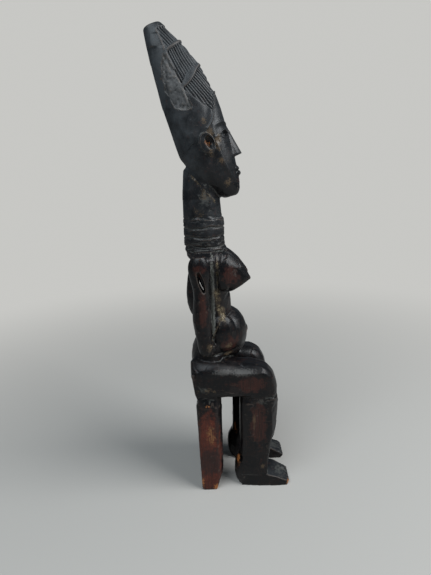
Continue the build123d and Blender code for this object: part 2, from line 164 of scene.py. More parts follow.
def readVectors(items, label):
    return readArray(items, label, width=3).reshape(-1, 3).astype(np.float64)


def readPoints(mesh):
    return readVectors(mesh.vertices, "co") / mm


def readNormals(mesh):
    return readVectors(mesh.vertex_normals, "vector")


def faceCentres(mesh):
    return readVectors(mesh.polygons, "center") / mm


def readEdges(mesh):
    return readArray(mesh.edges, "vertices", np.int32, 2).reshape(-1, 2)


def writePoints(mesh, points):
    mesh.vertices.foreach_set("co", (points * mm).astype(np.float32).ravel())
    mesh.update()


def keepField(mesh, name, values):
    layer = mesh.attributes.new(name, "FLOAT", "POINT")
    layer.data.foreach_set("value", values.astype(np.float32))


def averaged(values, ends, rounds):
    # spread values over neighbouring vertices
    count = np.bincount(ends.ravel(), minlength=len(values)).astype(float)
    count[count == 0] = 1
    for _ in range(rounds):
        columns = []
        for column in np.atleast_2d(values.T):
            total = np.bincount(ends[:, 0], weights=column[ends[:, 1]], minlength=len(column))
            total += np.bincount(ends[:, 1], weights=column[ends[:, 0]], minlength=len(column))
            columns.append(0.5 * column + 0.5 * total / count)
        values = np.array(columns).T if values.ndim > 1 else columns[0]
    return values


def cloud(points, cell, seed):
    # soft random field from 0 to 1 with blobs of about one cell
    grid = np.random.RandomState(seed).rand(24, 24, 24)
    places = points / cell
    base = np.floor(places).astype(int)
    part = places - base
    part = part * part * (3 - 2 * part)
    field = np.zeros(len(points))
    for corner in np.ndindex(2, 2, 2):
        weight = np.ones(len(points))
        for axis in range(3):
            weight *= part[:, axis] if corner[axis] else 1 - part[:, axis]
        index = [(base[:, axis] + corner[axis]) % 24 for axis in range(3)]
        field += weight * grid[index[0], index[1], index[2]]
    return field


def step(low, high, values):
    t = np.clip((values - low) / (high - low), 0, 1)
    return t * t * (3 - 2 * t)


def rib(distance, height, width):
    # a rounded rib along a line, or a groove where it is taken away
    return height * np.exp(-(distance / width) ** 2)


def within(low, high, values, soft):
    return step(low - soft, low + soft, values) * (1 - step(high - soft, high + soft, values))


def spot(points, centre, size):
    # 1 in the middle of an ellipsoid, falling evenly to 0 at its edge
    return np.clip(1 - np.sqrt((((points - centre) / size) ** 2).sum(axis=1)), 0, 1)


def insidePolygon(u, v, corners):
    # distance inside (positive) or outside a polygon, in any two coordinates
    inside = np.zeros(len(u), dtype=bool)
    nearest = np.full(len(u), 1e9)
    for start, end in zip(corners, corners[1:] + corners[:1]):
        crosses = (start[1] > v) != (end[1] > v)
        slope = (end[0] - start[0]) / ((end[1] - start[1]) or 1e-9)
        inside ^= crosses & (u < start[0] + (v - start[1]) * slope)
        nearest = np.minimum(nearest, fromLine(u, v, start, end))
    return np.where(inside, nearest, -nearest)


def fromLine(u, v, start, end):
    # distance from a line segment, in any two coordinates
    run = np.array(end, dtype=float) - start
    share = np.clip(((u - start[0]) * run[0] + (v - start[1]) * run[1]) / (run @ run), 0, 1)
    return np.hypot(u - start[0] - share * run[0], v - start[1] - share * run[1])


def headAxes(points):
    # along the leaning head axis, and ahead of it
    lean = math.radians(headFrame["lean"])
    neckTop = nodeBox("neck")[1][2]
    y = points[:, 1] - headFrame["axisY"]
    z = points[:, 2] - (neckTop - headFrame["belowNeckTop"])
    return y * math.sin(lean) + z * math.cos(lean), z * math.sin(lean) - y * math.cos(lean)


# coiffure, in mm along and ahead of the head axis
hair = {
    "hairlineFront": (93.0, 38.6),
    "temple": (62.0, 18.0),
    "nape": (48.0, -16.5),
    "sag": 5.75,                         # how far the hairline hangs between temple and front
    "crestEnd": 168.4,
    "panelRear": (13.0, 8.0),            # rear border at the temple and at the crest end
    "topMargin": 6.0,
    "bandRise": (48.0, 13.0),            # upper and lower band above the hairline
    "bandSlope": (0.30, 0.66),
    "bandHalfWidth": 1.5,
    "leafSwell": 2.4,
    "bandReach": 20.0,
    "lowestCorner": (83.5, 24.7),
    "combPitch": 2.3,
    "combDepth": 1.178,
    "strandRound": 0.9,                  # under 1 the strands are broad and the cuts narrow
    "cutSeed": 17,
    "combDirections": ((-0.914, 0.405), (-0.985, 0.17), (-0.92, 0.39)),
    "combFan": (0.0, 0.004, 0.006),      # how the cuts spread away from the middle of each panel
    "combMiddle": ((150.0, 14.0), (124.0, 22.0), (98.0, 27.0)),
    "leafStep": 0.5,
    "cord": (0.5, 1.2),                  # heights and half widths of the rims
    "rim": (0.75, 1.0),
    "rimGroove": (0.35, 0.7),
    "lip": (0.55, 1.1),
    "wornSink": 0.6,
    "wornPatch": [(139.5, 6.9), (130.0, 0.5), (122.1, -2.6), (109.9, -4.8), (90.7, -2.6), (85.9, 6.6),
                  (86.3, 13.0), (99.9, 13.2), (119.5, 11.5), (130.4, 9.6)],
}


def hairlineAt(ahead):
    # level of the hair's edge along the head axis for a place ahead of it
    frontAlong, frontAhead = hair["hairlineFront"]
    templeAlong, templeAhead = hair["temple"]
    napeAlong, napeAhead = hair["nape"]
    share = np.clip((ahead - templeAhead) / (frontAhead - templeAhead), 0, 1.3)
    arc = templeAlong + (frontAlong - templeAlong) * share - 4 * hair["sag"] * share * (1 - share)
    back = np.clip((ahead - napeAhead) / (templeAhead - napeAhead), -0.3, 1)
    return np.where(ahead > templeAhead, arc, napeAlong + (templeAlong - napeAlong) * back)


def rearBorder(along):
    low, high = hair["panelRear"]
    return low + (high - low) * (along - hair["temple"][0]) / (hair["crestEnd"] - hair["temple"][0])


def bandLine(index, ahead):
    start = hair["hairlineFront"][0] + hair["bandRise"][index]
    return start + hair["bandSlope"][index] * (ahead - rearBorder(start))


def hairRegions(points, along, ahead):
    front = ahead - rearBorder(along)
    upper = along - bandLine(0, ahead)
    lower = along - bandLine(1, ahead)
    edge = along - hairlineAt(ahead)
    inHair = (edge > 0) & (points[:, 2] > nodeBox("coiffure")[0][2])
    return front, upper, lower, edge, inHair


def leafEdge(front):
    swell = np.sin(np.clip(front / hair["bandReach"], 0, 1) * math.pi)
    return hair["bandHalfWidth"] + hair["leafSwell"] * swell


def combStrands(points, along, ahead):
    # which strand of the combing each point lies on, and how far it is in a combed panel
    front, upper, lower, edge, inHair = hairRegions(points, along, ahead)
    half = hair["bandHalfWidth"]
    leaf = leafEdge(front)
    corner = hair["lowestCorner"]
    start = (hair["hairlineFront"][0] + hair["bandRise"][1] - half, 11.0)
    run = np.array(corner) - start
    past = ((along - start[0]) * run[1] - (ahead - start[1]) * run[0]) / np.hypot(*run)
    panels = (
        step(half, half + 0.8, upper) * (1 - step(-0.8, 0, along - hair["crestEnd"] + hair["topMargin"])),
        step(0, 0.8, lower - leaf) * (1 - step(-0.8, 0, upper + half)),
        (1 - step(-0.8, 0, lower + leaf)) * step(1.6, 2.6, edge) * step(-0.2, 0.8, past),
    )
    inFront = step(0.2, 1.2, front) * inHair
    wander = (cloud(points, 16.0, 3) - 0.5) * 1.8 + (cloud(points, 7.0, 4) - 0.5) * 0.35
    strand, comb = np.zeros(len(points)), np.zeros(len(points))
    rows = zip(panels, hair["combDirections"], hair["combFan"], hair["combMiddle"])
    for panel, (alongRun, aheadRun), fan, middle in rows:
        across = (along - middle[0]) * aheadRun - (ahead - middle[1]) * alongRun
        across = across * (1 + fan * (along - middle[0])) + wander
        strand = np.where(panel > comb, across / hair["combPitch"], strand)
        comb = np.maximum(comb, panel)
    return strand, comb * inFront


def carveHair(points, along, ahead, strand, comb):
    front, upper, lower, edge, inHair = hairRegions(points, along, ahead)
    leaf = leafEdge(front)
    inFront = step(0.2, 1.2, front) * inHair
    draws = np.random.RandomState(hair["cutSeed"]).rand(257)
    everyCut = draws[np.round(strand).astype(int) % len(draws)]
    uneven = (0.45 + 0.75 * everyCut) * (0.6 + 0.7 * cloud(points, 9.0, 9))
    cut = 1 - np.abs(np.sin(math.pi * strand)) ** hair["strandRound"]
    depth = -hair["combDepth"] * cut * uneven * comb
    # the leaf stands up from its lower edge, and the thin band is a soft cord
    onLeaf = step(-0.6, 0.3, leaf - np.abs(lower)) * inFront
    depth += onLeaf * hair["leafStep"] * (0.2 - lower / (leaf + 0.5)) * step(0, 4, front)
    depth += rib(upper, *hair["cord"]) * inFront
    # rolled rim along the hairline, and the smooth step behind the combed panels
    rimPlace = step(18.0, 20.0, ahead) * (along < hair["hairlineFront"][0] + 2)
    depth += rib(edge - 0.9, *hair["rim"]) * rimPlace * inHair
    depth -= rib(edge - 2.9, *hair["rimGroove"]) * rimPlace * inHair
    depth += rib(front + 0.7, *hair["lip"]) * within(84, 162, along, 3.0) * inHair
    # worn patch: bark-like lumps sunk behind a sharp edge
    grain = np.column_stack((points[:, 0], ahead, along * 0.38))
    coarse = (cloud(grain, 5.2, 21) - 0.5) * 2.2 + (cloud(grain, 2.6, 23) - 0.5) * 1.2
    lumpy = coarse + (cloud(points, 2.0, 22) - 0.5) * 0.7
    depth += wornPatch(along, ahead) * inHair * (lumpy - hair["wornSink"])
    return depth


def wornPatch(along, ahead):
    place = np.column_stack((along, ahead, np.zeros(len(along))))
    ragged = (cloud(place, 6.0, 31) - 0.5) * 2.6 + (cloud(place, 2.5, 32) - 0.5) * 1.2
    return step(-0.3, 0.4, insidePolygon(along, ahead, hair["wornPatch"]) + ragged)


# face: calm, level features on even thirds
face = {   # places in mm along the head axis, and heights and half widths of what is carved
    "fineReach": (8, 78, 16),            # from, to and ahead of
    "eyeX": 9.7, "eyeAlong": 54.0, "eyeHalfWidth": 7.0, "eyeHalfHeight": 3.2,
    "lidRim": (0.5, 0.25), "lidSwell": 0.5, "slit": (0.35, 0.6),
    "browAlong": 61.5, "browArch": 3.5, "brow": (0.9, 1.7), "underBrow": (0.7, 2.2),
    "mouthAlong": 17.0, "mouthHalfWidth": 8.5, "mouth": (0.75, 0.6), "mouthCorner": (0.4, 1.3),
    "noseAlong": 32.0, "wingX": 6.0, "wing": (0.9, 2.4), "philtrum": (0.25, 1.4),
    "borderHalfWidth": 19.5, "border": (0.8, 1.3), "borderGroove": (0.45, 1.5),
    "earPlace": (51.0, 15.5), "earHalf": (5.0, 3.0), "earSide": 19.0, "earHollow": 0.7,
    "earGap": (0.6, 3.0), "earChips": 1.2,
}


def carveFace(points, along, ahead):
    x = np.abs(points[:, 0])
    onFace = step(14, 20, ahead) * step(5, 12, along) * (1 - step(80, 86, along))
    return carveEyes(x, along) * onFace + carveMouth(x, along, ahead) * onFace \
        + carveBorder(x, along, ahead) + carveEar(points, x, along, ahead)


def carveEyes(x, along):
    eyeX = (x - face["eyeX"]) / face["eyeHalfWidth"]
    lidCurve = np.sqrt(np.clip(1.05 - eyeX ** 2, 0.1, 1))
    rim = np.hypot(eyeX, (along - face["eyeAlong"]) / (face["eyeHalfHeight"] * lidCurve))
    depth = rib(rim - 1.2, *face["lidRim"]) + face["lidSwell"] * (1 - step(0.0, 0.95, rim))
    slit = np.abs(along - face["eyeAlong"] + 0.7 * eyeX ** 2)
    depth -= rib(slit, *face["slit"]) * (1 - step(0.8, 1.0, np.abs(eyeX)))
    bend = np.sin(np.clip((x - 2) / 17, 0, 1) * math.pi * 0.8)
    aboveBrow = along - face["browAlong"] - face["browArch"] * bend
    depth += rib(aboveBrow, *face["brow"]) * within(2.5, 17.5, x, 2.0)
    return depth - rib(aboveBrow + 3.8, *face["underBrow"]) * within(4.0, 16.5, x, 2.0)


def carveMouth(x, along, ahead):
    lips = np.abs(along - face["mouthAlong"] - 0.4 * np.cos(x / 3.0))
    depth = -rib(lips, *face["mouth"]) * (1 - step(7.0, face["mouthHalfWidth"], x))
    corner = np.hypot(x - face["mouthHalfWidth"], along - face["mouthAlong"])
    depth -= rib(corner, *face["mouthCorner"])
    wing = np.hypot(x - face["wingX"], along - face["noseAlong"] - 1.5)
    depth += rib(wing, *face["wing"]) * (ahead > 33)
    return depth - rib(x, *face["philtrum"]) * within(22, 28, along, 2.0)


def carveBorder(x, along, ahead):
    # an oval rim that runs from the temples round the cheeks to the chin
    oval = np.sqrt(np.clip(1 - np.abs((along - 50.0) / 46.0) ** 2.4, 0, 1))
    outside = x - face["borderHalfWidth"] * oval
    side = within(8, 88, along, 5.0) * step(6.0, 12.0, ahead)
    return (rib(outside, *face["border"]) - rib(outside - 2.6, *face["borderGroove"])) * side


def carveEar(points, x, along, ahead):
    # a soft hollow inside its rim, with a chipped edge
    middle, half = face["earPlace"], face["earHalf"]
    ear = np.hypot((along - middle[0]) / half[0], (ahead - middle[1]) / half[1])
    onEar = x > face["earSide"]
    chips = (cloud(points, 4.0, 81) - 0.5) * face["earChips"] * (1 - step(1.2, 3.4, ear))
    depth = (chips - face["earHollow"] * (1 - step(0.4, 1.3, ear))) * onEar
    gap = rib(along - middle[0] + 1.0, *face["earGap"]) * within(16.0, 26.0, ahead, 1.5)
    return depth - gap * (x > face["earSide"] - 1)


# body: places in mm, and heights and half widths of what is carved
body = {
    "spine": (1.1, 1.8), "spineReach": (185, 256),
    "blade": (1.0, 7.0), "bladePlace": (13.0, 26.0),       # out from the spine, under the shoulder
    "nipplePlace": (15.5, 237.5), "nipple": (1.0, 2.2), "nippleRing": (0.4, 0.8),
    "navelLevel": 177.0, "navel": (1.6, 3.0), "navelHole": (1.0, 1.1),
    "scars": ((-36.0, 15.0, 170.5), (-27.0, -3.0, 168.0), (36.0, 15.0, 170.5), (27.0, -3.0, 168.0)),
    "scarDots": (0.55, 0.8), "scarMiddle": (0.6, 0.9), "scarRadius": 2.6,
    "collar": (0.8, 1.2), "collarGroove": (0.9, 0.9),
    "breastCrease": (0.9, 1.0),
    "handCrease": (0.8, 1.0), "handEdge": ((4.3, 196.0), (14.1, 176.0)),
    "kneeFold": (1.5, 1.6), "kneeLevel": 113.5,
    "hem": (1.0, 1.4), "hemLevel": 158.5,
}


def carveBack(side, y, z, normals, shoulder):
    facingBack = step(0.2, 0.7, normals[:, 1]) * (y < 40)
    out, under = body["bladePlace"]
    blade = np.hypot(side - out, (z - shoulder + under) * 0.6)
    spine = rib(side, *body["spine"]) * within(*body["spineReach"], z, 8)
    return (rib(blade, *body["blade"]) - spine) * facingBack


def carveFront(side, y, z):
    nipple = np.hypot(side - body["nipplePlace"][0], z - body["nipplePlace"][1])
    depth = (rib(nipple, *body["nipple"]) - rib(nipple - 3.4, *body["nippleRing"])) * (y < -24)
    navel = np.hypot(side, z - body["navelLevel"])
    onBelly = (y < -15) * (z < 200)
    return depth + (rib(navel, *body["navel"]) - rib(navel, *body["navelHole"])) * onBelly


def carveScars(points):
    # ring scars on the hip and belly: raised dots round a middle one
    depth = np.zeros(len(points))
    for place in body["scars"]:
        offset = points - np.array(place)
        away = np.linalg.norm(offset, axis=1)
        dots = 0.5 + 0.5 * np.cos(6 * np.arctan2(offset[:, 2], offset[:, 1]))
        depth += rib(away - body["scarRadius"], *body["scarDots"]) * dots * (away < 9)
        depth += rib(away, *body["scarMiddle"])
    return depth


def carveBody(points, normals):
    x, y, z = points.T
    side = np.abs(x)
    shoulder = nodeBox("neck")[0][2]
    depth = carveBack(side, y, z, normals, shoulder) + carveFront(side, y, z) + carveScars(points)
    # collar: a worn, wavy edge where the neck stands on the shoulders
    turn = np.arctan2(y - 20, x)
    wave = shoulder - 1.0 + 1.2 * np.sin(turn * 5 + 0.8) + (cloud(points, 9, 5) - 0.5) * 3
    depth += rib(z - wave - 1.6, *body["collar"]) * (side < 26)
    depth -= rib(z - wave + 0.6, *body["collarGroove"]) * (side < 26)
    # crease where the flank of the breast meets the hollow beside the arm
    crease = np.abs(y - 7.0 - 0.3 * np.sin(z / 7.0))
    depth -= rib(crease, *body["breastCrease"]) * within(224, 262, z, 3) * within(17, 34, side, 2)
    # crease where the hand lies on the belly, and the fold over the knee
    depth -= rib(fromLine(y, z, *body["handEdge"]), *body["handCrease"]) * (side > 22)
    fold = z - body["kneeLevel"] + 0.12 * (side - 25)
    depth -= rib(fold, *body["kneeFold"]) * (y < -40) * step(-30, -44, y)
    # the torso's lower edge laps over the thighs
    hem = z - body["hemLevel"] - 4.0 * step(-2, -22, y)
    return depth - rib(hem, *body["hem"]) * within(14, 44, side, 3) * within(-26, 24, y, 4)


neckRings = {
    "count": 3, "pitch": 9.6, "base": 4.5, "height": 36.0,
    "axisY": 19.0, "reach": 26.0,
    "groove": (0.9, 0.85),
    "nick": (0.5, 0.6),
    "nickRows": ((0.3, 1.5), (0.55, -1.2), (0.8, 0.8)),   # share of the pitch, how they waver
}


def carveNeck(points):
    # chatter marks and worn nicks along the neck rings
    x, y, z = points.T
    ahead = y - neckRings["axisY"]
    foot = nodeBox("neck")[0][2] + neckRings["base"]
    turn = np.arctan2(ahead, x)
    depth = np.zeros(len(points))
    for row in range(neckRings["count"] + 1):
        level = foot + row * neckRings["pitch"]
        waver = 0.8 * np.sin(turn * 3 + row * 1.7) + (cloud(points, 6.5, 41 + row) - 0.5) * 2.4
        cutHere = 0.45 + 0.9 * cloud(points, 7.0, 45 + row)
        depth -= rib(z - level - waver, *neckRings["groove"]) * cutHere
        for share, turnOver in neckRings["nickRows"]:
            score = cloud(points * (1, 1, 2.2), 4.0, 51 + row + int(10 * share))
            nick = z - level - neckRings["pitch"] * share - waver * turnOver
            depth -= rib(nick, *neckRings["nick"]) * step(0.45, 0.65, score)
    return depth * (np.hypot(x, ahead) < neckRings["reach"])


hands = {"fingerPitch": 4.2, "fingerDepth": 0.3, "firstFinger": 12.0, "knuckles": 178.0}


def carveHands(points, normals):
    x, y, z = points.T
    outer = step(0.25, 0.6, normals[:, 0] * np.sign(x)) * (np.abs(x) > 30)
    lean = y + (z - hands["knuckles"]) * 0.3
    turn = math.pi * (lean - hands["firstFinger"]) / hands["fingerPitch"]
    groove = np.abs(np.sin(turn)) ** 0.8
    tips = nodeBox("right_arm")[0][2] - 2
    reach = within(tips, hands["knuckles"] - 6, z, 3.0) * within(10.0, 26.5, lean, 1.2)
    return -hands["fingerDepth"] * (1 - groove) * reach * outer


feet = {
    "toePitch": 5.5, "toeDepth": 0.55, "toeLength": 5.0, "innerSide": 10.5, "outerSide": 38.0,
    "arris": (0.35, 1.0),                # thin, from the ankle to the little toe
    "top": 22.0,
}


def carveFeet(points, normals):
    x, y, _ = points.T
    side = np.abs(x)
    fromInner = side - feet["innerSide"]
    share = fromInner / (feet["outerSide"] - feet["innerSide"])
    groove = np.abs(np.sin(math.pi * fromInner / feet["toePitch"])) ** 0.6
    toeRoot = nodeBox("right_foot", "left_foot")[0][1] + feet["toeLength"]
    toes = (1 - step(toeRoot - 3, toeRoot, y)) * within(0.06, 0.94, share, 0.03)
    arris = rib(side - feet["outerSide"] + 1.2, *feet["arris"]) * step(0.1, 0.5, normals[:, 2])
    return arris * (y < -16) - feet["toeDepth"] * (1 - groove) * toes


planes = {   # broad flats left by the adze: place, facing, reach, middle, deepest cut
    "thighTop": ((36.5, 0, 144.5), (0.60, 0, 0.80), (24, 58, 30), (32, -12, 142), 2.5),
    "thighSide": ((41.6, 0, 130), (1, 0, 0), (10, 60, 26), (40, -14, 130), 2.5),
    "calfOuter": ((39.4, -16, 70), (0.78, 0.62, 0), (16, 16, 50), (37, -14, 66), 2.5),
    "shinSide": ((39.6, 0, 70), (1, 0, 0), (10, 26, 52), (39, -34, 68), 2.5),
    "shinFront": ((36.5, -49, 80), (0.62, -0.78, 0), (12, 14, 44), (36, -49, 68), 2.5),
    "kneeFront": ((0, -52.6, 124), (0, -1, 0), (40, 8, 14), (25, -52, 124), 2.5),
    "breastSide": ((30.0, -3, 244), (0.93, -0.36, 0), (16, 26, 28), (26, -12, 242), 5.0),
    "breastUnder": ((0, -28.0, 237.2), (0, -0.53, -0.85), (34, 26, 16), (16, -17, 228), 6.0),
    "calfInner": ((12.5, -16, 70), (-0.78, 0.62, 0), (14, 16, 44), (14, -14, 66), 2.5),
    "ankleFront": ((0, -42.2, 24), (0, -0.99, -0.12), (34, 10, 30), (25, -46, 36), 4.0),
    "underThigh": ((41, 0, 115.5), (0.49, 0, -0.87), (16, 34, 12), (40, 2, 113), 6.0),
    "napeCorner": ((0, 38.6, 345.0), (0, 0.70, 0.71), (24, 12, 12), (0, 40, 346), 3.0),
    "hipRear": ((0, 37.0, 124), (0, 0.93, -0.37), (44, 12, 18), (25, 37, 120), 4.0),
    "toeTip": ((0, -65.6, 2.6), (0, -0.80, -0.60), (40, 8, 8), (24, -67, 2), 3.0),
    "toeCorner": ((37.0, -64.0, 4), (0.75, -0.66, 0), (8, 9, 14), (38, -65, 4), 3.0),
}


def adzeFlats(points):
    # press the skin back to each flat where it stands proud of it
    moved = points.copy()
    for place, facing, reach, middle, deepest in planes.values():
        for sign in (-1, 1):
            turned = np.array((sign, 1, 1))
            facingHere = np.array(facing, float) * turned
            facingHere /= np.linalg.norm(facingHere)
            proud = (moved - np.array(place) * turned) @ facingHere
            away = np.linalg.norm((moved - np.array(middle) * turned) / reach, axis=1)
            pressed = np.clip(proud, 0, deepest) * 0.85 * (1 - step(0.7, 1.0, away))
            moved -= pressed[:, None] * facingHere
    return moved


cellPrimes = (73856093, 19349663, 83492791)   # tell the cells of a grid apart


def knifeFacets(points, normals):
    # pull each patch of skin towards its own flat, as a blade leaves it
    spacing = carving["facetSpacing"]
    draw = np.random.RandomState(carving["seed"])
    cells = np.floor((points + draw.rand(3) * spacing) / spacing).astype(int)
    keys = np.bitwise_xor.reduce(cells * cellPrimes, axis=1)
    _, first = np.unique(keys, return_index=True)
    seeds = points[first] + (draw.rand(len(first), 3) - 0.5) * spacing * 0.4
    owner = np.empty(len(points), dtype=int)
    batch = 4000
    for start in range(0, len(points), batch):
        chunk = points[start:start + batch]
        gaps = (chunk ** 2).sum(1)[:, None] - 2 * chunk @ seeds.T + (seeds ** 2).sum(1)[None]
        owner[start:start + batch] = gaps.argmin(axis=1)
    count = np.maximum(np.bincount(owner, minlength=len(seeds)), 1)
    middle = np.array([np.bincount(owner, points[:, i], len(seeds)) / count for i in range(3)]).T
    facing = np.array([np.bincount(owner, normals[:, i], len(seeds)) / count for i in range(3)]).T
    flat = np.linalg.norm(facing, axis=1)
    facing /= np.maximum(flat, 1e-6)[:, None]
    height = ((points - middle[owner]) * facing[owner]).sum(axis=1)
    steady = step(0.80, 0.95, flat)[owner]
    return -height * carving["facetStrength"] * steady * (normals * facing[owner]).sum(axis=1)


def carveSkin(block):
    mesh = block.data
    writePoints(mesh, adzeFlats(readPoints(mesh)))
    refineSkin(block)
    points = readPoints(mesh)
    normals, ends = readNormals(mesh), readEdges(mesh)
    along, ahead = headAxes(points)
    neckFoot = nodeBox("neck")[0][2]
    neckHead = neckFoot + neckRings["height"]
    onHead = points[:, 2] > neckHead
    limit = carving["facetLimit"]
    facets = averaged(np.clip(knifeFacets(points, normals), -limit, limit), ends, 2)
    calm = np.where(onHead & (ahead > 8) & (along > 5), carving["facetsOnFace"], 1.0)
    wobble = (cloud(points, carving["wobbleSize"], 11) - 0.5) * carving["wobble"]
    depth = facets * calm + wobble
    strand, comb = combStrands(points, along, ahead)
    headDepth = carveHair(points, along, ahead, strand, comb) + carveFace(points, along, ahead)
    depth += np.where(onHead, headDepth, carveBody(points, normals) + carveHands(points, normals))
    depth += carveNeck(points) * within(neckFoot + 1, neckHead, points[:, 2], 1)
    depth += carveFeet(points, normals) * (points[:, 2] < feet["top"])
    # crumbs of old crust in the creases
    crumbs = (cloud(points, carving["crumbSize"], 61) - 0.35) * carving["crumbs"]
    depth += step(0.25, 0.7, crustField(points)) * crumbs
    depth *= step(*carving["solePlane"], points[:, 2])
    points = points + normals * depth[:, None]
    points[:, 2] = np.maximum(points[:, 2], 0.0)
    writePoints(mesh, points)
    keepField(mesh, "strand", strand)
    keepField(mesh, "comb", np.where(onHead, comb, 0))


# wear, dirt, bare wood and painted light, kept on the skin as attributes
marks = {   # middle and half size of each patch
    "rub": (   # red-brown wood where the stain has been handled away
        ((-43, -24, 128), (10, 30, 14)), ((-40, -32, 80), (11, 15, 42)), ((-42, 22, 212), (9, 8, 30)),
        ((-30, -8, 243), (12, 17, 17)), ((-28, -6, 168), (16, 19, 14)), ((43, -20, 128), (10, 34, 17)),
        ((40, -30, 78), (11, 17, 46)), ((30, -10, 243), (12, 19, 18)), ((0, -26, 172), (22, 8, 18)),
        ((40, 24, 206), (9, 10, 36)), ((-40, 24, 252), (9, 11, 12)), ((0, 36, 60), (42, 8, 56)),
        ((24, -54, 124), (15, 9, 13)), ((-24, -54, 124), (13, 9, 12)), ((22, -48, 74), (12, 9, 36)),
        ((-20, -48, 70), (10, 9, 30)), ((15, -28, 240), (10, 9, 11)), ((0, 40, 150), (34, 12, 20)),
        ((0, 36, 215), (20, 12, 40)), ((0, -16, 336), (14, 12, 12)),
    ),
    "board": (  # the stool's side faces, almost bare
        ((-41, 22, 46), (7, 26, 62)), ((41, 22, 46), (7, 26, 62)),
    ),
    "bare": (  # fresh chips down to pale wood
        ((-25, 10.5, 371), (8, 6, 6)), ((-37, -66, 3), (8, 4, 5)), ((-31, -10, 34), (8, 3, 15)),
        ((20, -10, 41), (8, 4, 16)), ((-40, 15, 3), (6, 6, 8)), ((-41, 31, 9), (4, 4, 13)),
        ((40, 20, 3), (5, 12, 4)), ((-42, 22, 104), (3, 5, 2.4)), ((18, 35, 438), (4, 2, 2)),
        ((37, -24, 60), (6, 2.4, 18)),
    ),
    "scrape": (  # pale brushed places on the stool's side faces
        ((-42, 19, 70), (4, 9, 24)), ((41, 24, 60), (4, 9, 30)), ((-42, 33, 70), (3, 2.4, 46)),
    ),
    "grime": (  # dark and greyed zones over the red wood
        ((-42, 20, 36), (5, 20, 24)), ((-42, 12, 84), (5, 4, 40)), ((42, 26, 88), (5, 14, 30)),
        ((-40, -8, 121), (8, 10, 9)),
    ),
    "crust": (
        ((-26, -4, 154.5), (9, 8, 3.5)), ((-14, 53.5, 429.3), (4, 1.5, 1.5)),
        ((-38, 16, 172), (7, 2.4, 2.4)), ((-30, -2.5, 168), (6, 2.4, 2.4)),
    ),
    "earth": (  # brown dirt rubbed into the ears, cheeks, neck, hips and ankles
        ((-22, 9, 380), (8, 8, 8)), ((-23, 8, 359), (8, 10, 8)), ((-20, 15, 391), (8, 5, 6)),
        ((-20, 2, 371), (8, 6, 13)), ((-18, -2, 353), (8, 8, 9)), ((-17, -6, 334), (8, 5, 6)),
        ((-19, 16, 322), (8, 7, 12)), ((-19, 22, 307), (8, 8, 7)), ((22, 9, 372), (9, 11, 15)),
        ((-42, 22, 122), (6, 14, 5)), ((-38, -37, 25), (8, 5, 6)), ((-39, -27.5, 80), (6, 2.2, 32)),
        ((-38, 16, 172), (8, 8, 8)), ((-30, -2.5, 168), (8, 7, 7)), ((-26, -4, 155), (12, 14, 6)),
    ),
    "dust": (
        ((0, 20, 272), (34, 34, 12)), ((0, 20, 292), (30, 32, 8)), ((-39, -36, 107), (9, 15, 7)),
        ((-41, 24, 124), (9, 14, 7)), ((-17, 16, 320), (12, 16, 22)), ((17, 16, 318), (12, 16, 22)),
        ((-24, -54, 10), (23, 28, 9)), ((24, -54, 10), (23, 28, 9)), ((-30, -12, 246), (9, 13, 12)),
        ((40, -36, 107), (9, 15, 7)), ((0, 36, 250), (30, 10, 20)), ((0, 40, 320), (14, 8, 30)),
    ),
    "ash": (  # painted light: a pale grey strip on the lit wall of the hollow beside each arm
        ((-28, 12, 240), (14, 3.2, 36)), ((-28, 12.5, 204), (14, 3.6, 36)), ((28, 12, 224), (14, 3.4, 44)),
    ),
    "paintedHighlight": (  # painted highlights: pale streaks along the thigh tops and on the crest
        ((-40, 4, 143), (8, 18, 5)), ((-40, -16, 142), (8, 22, 6)), ((39, -14, 141), (10, 30, 7)),
        ((-15, 49.5, 435), (7, 2.6, 20)), ((-19, 35, 401.5), (7, 7, 2)),
    ),
}


def markField(points, kind):
    field = np.zeros(len(points))
    for middle, size in marks[kind]:
        field = np.maximum(field, spot(points, np.array(middle, float), np.array(size, float)))
    return field


crust = {
    "lines": (   # down each flank and under the jaw: ends in Y and Z, half width, how thick
        ((6.6, 262.0), (7.2, 226.0), 1.1, 0.62), ((8.5, 224.0), (6.5, 206.0), 4.5, 0.58),
        ((4.0, 206.0), (3.0, 197.0), 3.6, 0.72), ((4.3, 196.0), (14.0, 177.0), 1.0, 0.5),
        ((31.0, 343.0), (4.0, 313.0), 1.2, 0.46),
    ),
    "sides": (11, 36),                   # mm out from the middle
    "leftShare": 0.75,
    "patchSize": 3.5,
}


def crustField(points):
    x, y, z = points.T
    field = markField(points, "crust")
    inner, outer = crust["sides"]
    onFlank = (np.abs(x) > inner) & (np.abs(x) < outer)
    for start, end, width, thick in crust["lines"]:
        line = np.clip(1 - fromLine(y, z, start, end) / (2 * width), 0, 1) * thick * onFlank
        field = np.maximum(field, line * np.where(x < 0, 1.0, crust["leftShare"]))
    patchy = (cloud(points, crust["patchSize"], 71) - 0.5) * 0.5 - 0.05
    return field + patchy * (field > 0.01)


slate = {   # places and how far a painted sheen greys the stain there
    "onHead": ((0, 40, 90, 130, 165), (0.12, 0.28, 0.52, 0.90, 1.0)),   # along the head axis
    "below": ((258, 285, 340), (0.0, 0.33, 0.44)),                      # up from the shoulders
    "rearStrip": 0.46,                                                  # more painted sheen on the crest's rear, which faces the light from behind
    # painted sheen on the upward faces of the feet
    "footTop": 0.42, "footLevel": 24.0,
}


relief = {   # how the skin's own bumps and hollows become wear and dust, and painted shade and highlight on the worn patch
    "smoothRounds": (4, 24),
    "fine": 7.0,
    "wideHollow": 0.9,
    "wideEdge": 0.35, "wideEdgeLimit": 0.4,
    "frontAndRear": 0.85,                # how much they rub, where the sides rub 1
    "earthSize": 4.5, "earthBreak": 1.1,
}


